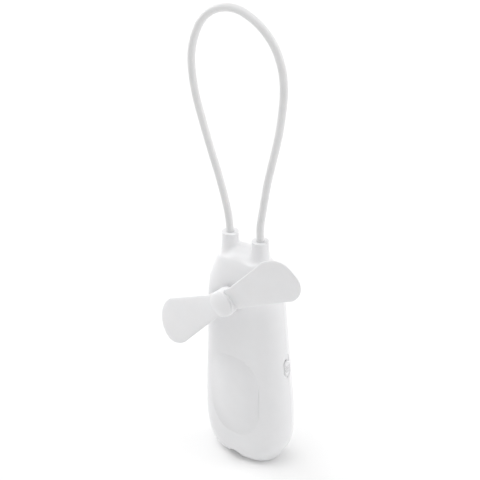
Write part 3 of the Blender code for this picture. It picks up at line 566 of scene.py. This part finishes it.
def add_horn(shape, base, side):
    """Grow one horn from its eight corners in the roof; returns its sharp rim edges.

    The gain makes up for how far subdivision draws a ring of eight corners in.
    """
    gain = 1 / (2 / 3 + math.cos(math.pi / 4) / 3)
    loops = [base]
    foot = shoulder_height + horn_height * horn_foot_rise
    for radius_share, height_share in ((horn_foot_share, None),) + horn_loops:
        loop = []
        for k, corner in enumerate(base):
            reach = horn_radius * gain * radius_share
            x = side * (horn_spacing / 2 + reach * math.cos(k * math.pi / 4))
            y = parting_y + reach * math.sin(k * math.pi / 4)
            if height_share is None:
                z = corner.co.z + (foot - corner.co.z) * horn_foot_ease
            else:
                z = shoulder_height + horn_height * height_share
            loop.append(shape.verts.new((x, y, z)))
        loops.append(loop)
    for lower, upper in zip(loops, loops[1:]):
        for k, corner in enumerate(lower):
            j = (k + 1) % len(lower)
            shape.faces.new((corner, lower[j], upper[j], upper[k]))
    inner = loops[-1]
    centre = shape.verts.new((side * horn_spacing / 2, parting_y, housing_height))
    for k in range(0, len(inner), 2):
        shape.faces.new((centre, inner[k], inner[k + 1], inner[(k + 2) % len(inner)]))
    rim = loops[-2]
    return [(rim[k], rim[(k + 1) % len(rim)]) for k in range(len(rim))]


def housing_form(inset, level, horns=False):
    """The housing's outer form, or a like form set in from it, as one smooth surface."""
    low = inset if inset > 0 else -base_trim
    high = shoulder_height - inset
    shape = bmesh.new()
    loops = []
    for number, shares in enumerate(ring_shares):
        height, width, front, rear, sag = shares
        ring = (
            low + (high - low) * height, half_width * width - inset,
            front_depth * front - inset, rear_depth * rear - inset, roof_sag * sag,
        )
        top = horns and number == len(ring_shares) - 1
        corners = {
            column: shape.verts.new(cage_point(column, ring, top)) for column in ring_columns
        }
        loops.append((ring, corners))
    for (_, lower), (_, upper) in zip(loops, loops[1:]):
        for k, column in enumerate(ring_columns):
            after = ring_columns[(k + 1) % len(ring_columns)]
            shape.faces.new((lower[column], lower[after], upper[after], upper[column]))
    for ring, corners in [loops[0]] if horns else [loops[0], loops[-1]]:
        for i in (-1, 0, 1):
            corners[i, 0] = shape.verts.new(cage_point((i, 0), ring, False))
        for i in range(-2, 2):
            for j in (-1, 0):
                shape.faces.new((
                    corners[i, j], corners[i + 1, j], corners[i + 1, j + 1], corners[i, j + 1],
                ))
    rims = []
    if horns:
        corners = loops[-1][1]
        corners[0, 0] = shape.verts.new((0.0, parting_y, shoulder_height + roof_crown))
        for side in (-1, 1):
            around = ((2, 0), (2, 1), (1, 1), (0, 1), (0, 0), (0, -1), (1, -1), (2, -1))
            rims += add_horn(shape, [corners[side * i, j] for i, j in around], side)
    crease = shape.edges.layers.float.new("crease_edge")
    for start, end in rims:
        shape.edges.get((start, end))[crease] = rim_crease
    piece = solid("housing_form", shape)
    smoothing = piece.modifiers.new("Subdivision", "SUBSURF")
    smoothing.levels = level
    smoothing.render_levels = level
    bake(piece)
    return flatten(piece)


def door_outline(shrink):
    """Outline of the battery opening, or of one that is smaller all round."""
    width = 2 * (tray_half_width + door_side_room)
    height = tray_top - tray_bottom
    return rounded(width - 2 * shrink, height - 2 * shrink, door_corner - shrink, steps=12)


def add_pad(housing):
    """Oval pad that leans and bows with the front and stands a little proud of it."""
    outline = []
    for k in range(pad_face_steps):
        x = pad_width * (k / (pad_face_steps - 1) - 0.5)
        outline.append((x, pad_face + pad_bow_radius - math.sqrt(pad_bow_radius ** 2 - x ** 2)))
    outline += [(pad_width / 2, 0.0), (-pad_width / 2, 0.0)]
    slab = prism(outline, "Z", pad_centre - pad_height, pad_centre + pad_height)
    lean = Matrix.Translation((0.0, -pad_lean * pad_centre, 0.0))
    lean[1][2] = pad_lean
    slab.data.transform(lean)
    crest, foot = pad_edge
    rings = []
    for (grow, rise), flat in ((crest, -over), (crest, None), (foot, None), (foot, 0.0)):
        ring = []
        rim = oval(pad_width + 2 * grow, pad_height + 2 * grow, pad_power, pad_edge_steps)
        for x, z in rim:
            bow = pad_bow_radius - math.sqrt(pad_bow_radius ** 2 - x ** 2)
            y = pad_face - rise + bow + pad_lean * z if flat is None else flat
            ring.append((x, y, pad_centre + z))
        rings.append(ring)
    join(housing, cut(keep(loft(rings), slab), housing_form(wall, inner_level)))


def horn_places():
    """Middle of each horn, seen from above."""
    return [(side * horn_spacing / 2, parting_y) for side in (-1, 1)]


def add_columns(housing):
    """Columns of plastic under the horns, which the ferrules sit in."""
    for place in horn_places():
        profile = ((column_bottom, column_radius), (column_top, column_radius))
        column = turned(profile, "Z", place, round_steps)
        join(housing, keep(column, housing_form(wall / 2, inner_level)))


def bore_horns(housing):
    """Hole through each horn, with a mouth that closes on the cord."""
    hole = (
        (horn_hole_bottom, horn_bore / 2), (housing_height - mouth_start, horn_bore / 2),
        (housing_height - mouth_depth, mouth_radius), (housing_height - mouth_rim, mouth_radius),
        (housing_height + mouth_flare, mouth_radius + mouth_flare),
    )
    for place in horn_places():
        cut(housing, turned(hole, "Z", place, round_steps))


def cut_switch_recess(housing):
    """Oval recess with sloped sides for the knob, and the slot behind it for the lever."""
    recess = []
    for grow, x in recess_sides:
        outline = rounded(recess_width + 2 * grow, recess_length + 2 * grow,
                          recess_width / 2 + grow, steps=16)
        recess.append([placed("X", parting_y + a, switch_height + b, x) for a, b in outline])
    cut(housing, loft(recess))
    slot = rounded(slot_width, slot_length, slot_width / 2, steps=6)
    cut(housing, prism(slot, "X", *slot_span, (parting_y, switch_height)))


def cut_base(housing):
    """Flat base, and the small arch in its front with a cover behind it."""
    cut(housing, block(past_sides, past_sides, (-over, 0.0)))
    cover = block((-arch_cover_half, arch_cover_half), (-over, arch_back - arch_front),
                  (0.0, arch_height + arch_back))
    join(housing, keep(cover, housing_form(wall / 2, inner_level)))
    radius = ((arch_width / 2) ** 2 + arch_height ** 2) / (2 * arch_height)
    profile = ((-over, radius), (-arch_front, radius))
    cut(housing, turned(profile, "Y", (0.0, arch_height - radius), arch_steps))


def add_screw_wells(housing):
    """Sleeve and well for the head of each screw in the rear shell."""
    radius = head_bore / 2
    for place in screw_places:
        profile = ((parting_y, radius + screw_sleeve), (past_rear, radius + screw_sleeve))
        sleeve = turned(profile, "Y", place, round_steps)
        join(housing, keep(sleeve, housing_form(wall / 2, inner_level)))
        well = ((screw_seat, radius), (past_rear, radius))
        cut(housing, turned(well, "Y", place, round_steps))


def cut_door_opening(housing):
    """Opening for the batteries, with a ledge all round that the door lies on."""
    centre = (0.0, door_middle)
    seat = prism(door_outline(0.0), "Y", cell_y, rear_depth + over, centre)
    cut(seat, housing_form(door_thickness + door_seat_room, inner_level))
    opening = prism(door_outline(door_ledge), "Y", cell_y, rear_depth + over, centre)
    cut(housing, seat, opening)


def make_shells(material):
    """Front and rear shells as one smooth hollow form, split by a fine parting line."""
    housing = housing_form(0.0, outer_level, horns=True)
    cut(housing, housing_form(wall, inner_level))
    add_columns(housing)
    add_pad(housing)
    bore_horns(housing)
    cut_switch_recess(housing)
    cut_base(housing)
    shaft_hole = ((-over, shaft_hole_radius), (0.0, shaft_hole_radius))
    cut(housing, turned(shaft_hole, "Y", (0.0, fan_height), round_steps))
    add_screw_wells(housing)
    cut_door_opening(housing)
    rear = linked("rear", housing.data.copy())
    keep(housing, block(past_sides, (past_sides[0], parting_y - parting_gap), past_ends))
    keep(rear, block(past_sides, (parting_y + parting_gap, past_sides[1]), past_ends))
    dress(housing, "front_shell_skin", material, "housing", ("front_shell",), sharp=50)
    dress(rear, "rear_shell_skin", material, "housing", ("rear_shell",), sharp=50)


def make_door(material):
    """Battery door that lies flush in the rear shell, with grip grooves and two inner ribs."""
    centre = (0.0, door_middle)
    door = prism(door_outline(door_gap), "Y", cell_y, rear_depth + over, centre)
    keep(door, housing_form(0.0, outer_level, horns=True))
    cut(door, housing_form(door_thickness, inner_level))
    for side in (-1, 1):
        rib = block((side * cell_x - rib_half_width, side * cell_x + rib_half_width),
                    (cell_y + cell_radius + rib_room, rib_top),
                    (door_middle - rib_half_length, door_middle + rib_half_length))
        join(door, keep(rib, housing_form(door_thickness / 2, inner_level)))
    for number in range(groove_count):
        z = door_middle + groove_first - number * groove_pitch
        outline = rounded(groove_length, groove_width, groove_width / 2, steps=8)
        groove = prism(outline, "Y", cell_y, past_rear, (0.0, z))
        cut(groove, housing_form(groove_depth, groove_level))
        cut(door, groove)
    dress(door, "door_skin", material, "door", ("battery_door",), sharp=50)


# Rotor

# Blade, from where it starts inside the hub to its tip
blade_start = 0.0024
root_width = 0.008
blade_width = 0.0198
width_power = 0.95
blade_half_thickness = 0.0007
blade_edge_power = 2.8
blade_edge_steps = 48
blade_steps = 36

# Flare of the blade where it meets the hub
flare_size = 0.0009
flare_inset = 0.0004
flare_length = 0.0014
flare_thickening = 0.35

# Tip of the blade, thinner than the rest and a little fuller above its middle line
tip_steps = 25
tip_step_power = 1.6
tip_thinning = 0.5
tip_rise = 0.0006
tip_upper_half = 0.0105
tip_upper_power = 0.65

# Hub, with the shaft's bore, a hollow rear, round rims and the socket for the cap's peg
rotor_steps = 96
bore_radius = 0.00105
bore_end = -0.0156
sleeve_radius = 0.0022
hollow_floor = -0.012
hollow_radius = 0.00485
rear_rim = ((0.0, 0.00535), (0.0002, 0.00563), (0.0005, hub_radius))
front_rim = 0.0003
front_rim_steps = 8
socket_radius = 0.0015
socket_floor = -0.0161

# Domed cap on the hub's front
cap_gap = 0.00004
cap_radius = 0.0056
cap_bevel = 0.0001
cap_side = 0.0003
cap_dome = 0.0017
cap_dome_power = 0.75
cap_dome_steps = 24
cap_height = 0.002
cap_point = 0.0001
peg_end = -0.0164
peg_radius = 0.0012


def paddle(name, side, material):
    """Soft paddle with a round edge, wide near its tip and flared where it meets the hub.

    Each station holds its distance from the axis, the half widths under and over the middle
    line, and half the thickness.
    """
    widest = rotor_radius * widest_share
    stations = []
    for k in range(blade_steps):
        share = k / blade_steps
        reach = blade_start + (widest - blade_start) * share
        half = (root_width + (blade_width - root_width) * share ** width_power) / 2
        flare = flare_size * math.exp(-((reach - hub_radius + flare_inset) / flare_length) ** 2)
        stations.append((
            reach, half + flare, half + flare + tip_rise * share ** 2,
            blade_half_thickness + flare_thickening * flare,
        ))
    for k in range(tip_steps):
        angle = math.radians(90) * (1 - (1 - k / tip_steps) ** tip_step_power)
        thin = 1 - tip_thinning * (1 - math.cos(angle))
        stations.append((
            widest + (rotor_radius - widest) * math.sin(angle),
            blade_width / 2 * math.cos(angle),
            tip_upper_half * math.cos(angle) ** tip_upper_power,
            blade_half_thickness * thin,
        ))
    rings = []
    for reach, under, upper, thick in stations:
        lift = (upper - under) / 2
        edge = oval(under + upper, 2 * thick, blade_edge_power, blade_edge_steps)
        rings.append([(reach, b, a + lift) for a, b in edge])
    blade = loft(rings)
    turn = blade_rest + (0 if side > 0 else math.pi)
    blade.data.transform(
        Matrix.Translation((0.0, blade_y, fan_height))
        @ Matrix.Rotation(-turn, 4, "Y") @ Matrix.Rotation(blade_pitch, 4, "X")
    )
    node = name.replace("_skin", "")
    dress(blade, name, material, "rotor", (node,), sharp=60)


def make_hub(white):
    """Hub with round rims, hollow at the rear round the sleeve that grips the shaft."""
    profile = [(bore_end, bore_radius), (hub_rear, bore_radius), (hub_rear, sleeve_radius),
               (hollow_floor, sleeve_radius), (hollow_floor, hollow_radius),
               (hub_rear, hollow_radius)]
    profile += [(hub_rear - along, radius) for along, radius in rear_rim]
    for k in range(front_rim_steps + 1):
        turn = math.pi / 2 * k / front_rim_steps
        profile.append((
            hub_front + front_rim * (1 - math.sin(turn)),
            hub_radius - front_rim * (1 - math.cos(turn)),
        ))
    profile += [(hub_front, socket_radius), (socket_floor, socket_radius)]
    hub = turned(profile, "Y", (0.0, fan_height), rotor_steps)
    dress(hub, "hub_skin", white, "rotor", ("rotor_hub",))


def make_cap(white):
    """Domed cap with the peg that holds it in the hub."""
    rear = hub_front - cap_gap
    profile = [(peg_end, peg_radius), (rear, peg_radius), (rear, cap_radius - cap_bevel),
               (rear - cap_bevel, cap_radius)]
    for k in range(cap_dome_steps):
        share = math.cos(math.pi / 2 * k / cap_dome_steps)
        rise = cap_dome * (1 - share ** 2) ** cap_dome_power
        profile.append((rear - cap_side - rise, cap_radius * share))
    profile.append((rear - cap_height, cap_point))
    cap = turned(profile, "Y", (0.0, fan_height), rotor_steps)
    dress(cap, "cap_skin", white, "rotor", ("spinner_cap",))


def make_rotor(white, soft):
    """Hub, cap and the two blades."""
    make_hub(white)
    make_cap(white)
    paddle("blade_right_skin", 1, soft)
    paddle("blade_left_skin", -1, soft)


# Cord, springs and wires

# Springs, wound from a wide foot to a narrow top, and the insulated wires
spring_turns = 3
spring_steps = 108
spring_foot_radius = 0.0036
spring_taper = 0.0017
spring_foot = 0.00025
spring_rise = 0.0024
spring_height = 0.0029
spring_wire = 0.0005
wire_diameter = 0.0011

# Each spring's name, side, lowest place, and whether its foot is at its upper end
springs = (("spring_left", -1, 0.0068, False), ("spring_right", 1, 0.0573, True))


def make_cord(material):
    """Lanyard cord, from inside one horn round its loop into the other."""
    points = smooth_path(cord_route, samples=6)
    cord = tube("lanyard_cord_skin", points, cord_diameter, resolution=8)
    dress(cord, "lanyard_cord_skin", material, "housing", ("lanyard_cord",))


def make_springs(material):
    """Conical coils with a fine round wire."""
    for name, side, low, flipped in springs:
        points = []
        for k in range(spring_steps + 1):
            share = k / spring_steps
            turn = 2 * spring_turns * math.pi * share
            radius = spring_foot_radius - spring_taper * share
            rise = spring_foot + spring_rise * share
            height = spring_height - rise if flipped else rise
            points.append((
                side * cell_x + radius * math.cos(turn), cell_y + radius * math.sin(turn),
                low + height,
            ))
        coil = tube(name + "_coil", points, spring_wire, resolution=4)
        dress(coil, name + "_coil", material, "housing", (name,))


def make_wires(red, dark):
    """Round insulated wires on the routes of the part's source."""
    for name, material, route in (
        ("wire_supply", red, (
            (-0.0074, -0.0014, 0.0655), (-0.0074, -0.0014, 0.0677), (0.0, 0.0006, 0.0688),
            (0.0074, 0.00115, 0.0677), (0.0149, 0.00115, 0.0642),
        )),
        ("wire_switched", red, (
            (0.016, 0.0006, 0.0591), (0.016, 0.0006, 0.0613), (0.01613, 0.00115, 0.0705),
            (0.01503, 0.00225, 0.08), (0.00855, 0.00638, 0.0834), (0.00745, 0.00638, 0.085),
        )),
        ("wire_return", dark, (
            (0.0074, -0.0014, 0.0655), (0.0074, -0.0014, 0.0666), (0.0, 0.00115, 0.0727),
            (-0.00855, 0.00638, 0.08), (-0.00745, 0.00638, 0.085),
        )),
    ):
        points = smooth_path(route, samples=10)
        wire = tube(name + "_skin", points, wire_diameter, resolution=5)
        dress(wire, name + "_skin", material, "housing", (name,))


def main_pieces():
    """The pieces that the scene models itself, each in its own material."""
    white = moulded("housing_white", (0.868, 0.868, 0.878), shift=0.008, roughness=0.3,
                    spread=0.04, grain=2600, bump=0.06, edge=0.00025, soft=0.06)
    soft = moulded("blade_white", (0.85, 0.85, 0.86), shift=0.01, roughness=0.42,
                   spread=0.05, grain=2200, bump=0.08, edge=0.0002, soft=0.12)
    cord = moulded("cord_grey", (0.775, 0.775, 0.777), shift=0.02, roughness=0.42,
                   spread=0.05, grain=3200, bump=0.1, soft=0.05)
    red = moulded("wire_red", (0.5, 0.02, 0.02), shift=0.05, roughness=0.4,
                  spread=0.05, grain=2000, bump=0.05)
    dark = moulded("wire_black", (0.03, 0.03, 0.03), shift=0.1, roughness=0.4,
                   spread=0.05, grain=2000, bump=0.05)
    spring = moulded("spring_nickel", (0.7, 0.68, 0.62), shift=0.04, roughness=0.28,
                     spread=0.06, grain=1600, bump=0.05, metallic=1.0)
    make_cord(cord)
    make_shells(white)
    make_door(white)
    make_rotor(white, soft)
    make_springs(spring)
    make_wires(red, dark)


# Height of the metal-coloured band on each cell's sleeve
left_band = (0.047, 0.0578)
right_band = (0.0092, 0.02)


def dress_nodes():
    """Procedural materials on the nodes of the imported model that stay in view."""
    steel = moulded("plated_steel", (0.6, 0.6, 0.59), shift=0.05, roughness=0.34, spread=0.08,
                    grain=1800, bump=0.08, metallic=1.0, stretch=(1.0, 1.0, 6.0))
    brass = moulded("plain_brass", (0.76, 0.58, 0.28), shift=0.05, roughness=0.34,
                    spread=0.08, grain=1800, bump=0.08, metallic=1.0)
    black = moulded("moulded_black", (0.03, 0.03, 0.032), shift=0.1, roughness=0.45,
                    spread=0.06, grain=2000, bump=0.1)
    tray = moulded("tray_white", (0.7, 0.7, 0.69), shift=0.02, roughness=0.5, spread=0.05,
                   grain=1800, bump=0.1)
    knob = moulded("knob_white", (0.86, 0.86, 0.87), shift=0.02, roughness=0.36, spread=0.05,
                   grain=2400, bump=0.08, edge=0.0002)
    board = moulded("phenolic_brown", (0.22, 0.11, 0.06), shift=0.12, roughness=0.55,
                    spread=0.06, grain=1200, bump=0.1, stretch=(1.0, 4.0, 1.0))
    plans = {
        "battery_tray": tray, "cell_left": cell_sleeve("sleeve_left", *left_band),
        "cell_right": cell_sleeve("sleeve_right", *right_band),
        "contact_bridge": steel, "contact_positive": steel, "contact_negative": steel,
        "motor_can": steel, "motor_end_cap": black, "motor_bush": brass,
        "terminal_left": brass, "terminal_right": brass, "motor_shaft": steel,
        "switch_knob": knob, "switch_lever": black, "switch_frame": steel,
        "switch_base": board, "screw_left": steel, "screw_right": steel, "screw_top": steel,
        "ferrule_left": brass, "ferrule_right": brass,
    }
    for name, material in plans.items():
        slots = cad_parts[name].material_slots
        for slot in slots:
            slot.material = material


# Floor and light

# The floor's half size and tone, what the camera sees added to it, and the world's light
floor_half = 6
floor_tone = 0.93
floor_lift = 0.06
world_strength = 0.49

# Suns as name, azimuth, elevation and strength, all of the same wide angle
sun_spread = math.radians(45)
suns = (
    ("sun_left", -96, 12, 1.1), ("sun_right", 129, 12, 1.05),
    ("sun_high", -51, 70, 0.6), ("sun_top", 0, 89, 0.8),
)


def seen_rays(tree):
    """Socket that is 1 for the rays in which the background is seen, and 0 for its light."""
    rays = tree.nodes.new("ShaderNodeLightPath")
    total = rays.outputs["Is Camera Ray"]
    for kind in ("Is Glossy Ray", "Is Transmission Ray"):
        add = tree.nodes.new("ShaderNodeMath")
        add.operation = "MAXIMUM"
        tree.links.new(total, add.inputs[0])
        tree.links.new(rays.outputs[kind], add.inputs[1])
        total = add.outputs["Value"]
    return total


def set_floor():
    """Plain white floor that keeps the object's shadow."""
    shape = bmesh.new()
    corners = ((-1, -1), (1, -1), (1, 1), (-1, 1))
    shape.faces.new([shape.verts.new((x * floor_half, y * floor_half, 0.0)) for x, y in corners])
    floor = solid("floor", shape)
    material = bpy.data.materials.new("floor_white")
    material.use_nodes = True
    tree = material.node_tree
    shader = tree.nodes["Principled BSDF"]
    shader.inputs["Base Color"].default_value = (floor_tone, floor_tone, floor_tone, 1.0)
    shader.inputs["Roughness"].default_value = 0.9
    shader.inputs["Specular IOR Level"].default_value = 0.0
    shader.inputs["Emission Color"].default_value = (1.0, 1.0, 1.0, 1.0)
    seen = seen_rays(tree)
    lift = tree.nodes.new("ShaderNodeMath")
    lift.operation = "MULTIPLY"
    lift.inputs[1].default_value = floor_lift
    tree.links.new(seen, lift.inputs[0])
    tree.links.new(lift.outputs["Value"], shader.inputs["Emission Strength"])
    floor.data.materials.append(material)


def set_light():
    """Even soft light from all round, a little stronger from both sides and from above."""
    world = bpy.data.worlds.new("studio")
    bpy.context.scene.world = world
    world.use_nodes = True
    tree = world.node_tree
    back = tree.nodes["Background"]
    back.inputs["Color"].default_value = (1.0, 1.0, 1.0, 1.0)
    back.inputs["Strength"].default_value = world_strength
    plain = tree.nodes.new("ShaderNodeBackground")
    plain.inputs["Color"].default_value = (1.0, 1.0, 1.0, 1.0)
    plain.inputs["Strength"].default_value = 1.0
    mix = tree.nodes.new("ShaderNodeMixShader")
    tree.links.new(seen_rays(tree), mix.inputs["Fac"])
    tree.links.new(back.outputs["Background"], mix.inputs[1])
    tree.links.new(plain.outputs["Background"], mix.inputs[2])
    tree.links.new(mix.outputs["Shader"], tree.nodes["World Output"].inputs["Surface"])
    for name, round_turn, up_turn, strength in suns:
        data = bpy.data.lights.new(name, "SUN")
        data.energy = strength
        data.angle = sun_spread
        lamp = linked(name, data)
        azimuth = math.radians(round_turn)
        elevation = math.radians(up_turn)
        toward = Vector((
            math.sin(azimuth) * math.cos(elevation), -math.cos(azimuth) * math.cos(elevation),
            math.sin(elevation),
        ))
        lamp.rotation_euler = toward.to_track_quat("Z", "Y").to_euler()
    bpy.context.scene.view_settings.view_transform = "Standard"


set_camera()
main_pieces()
dress_nodes()
set_floor()
set_light()
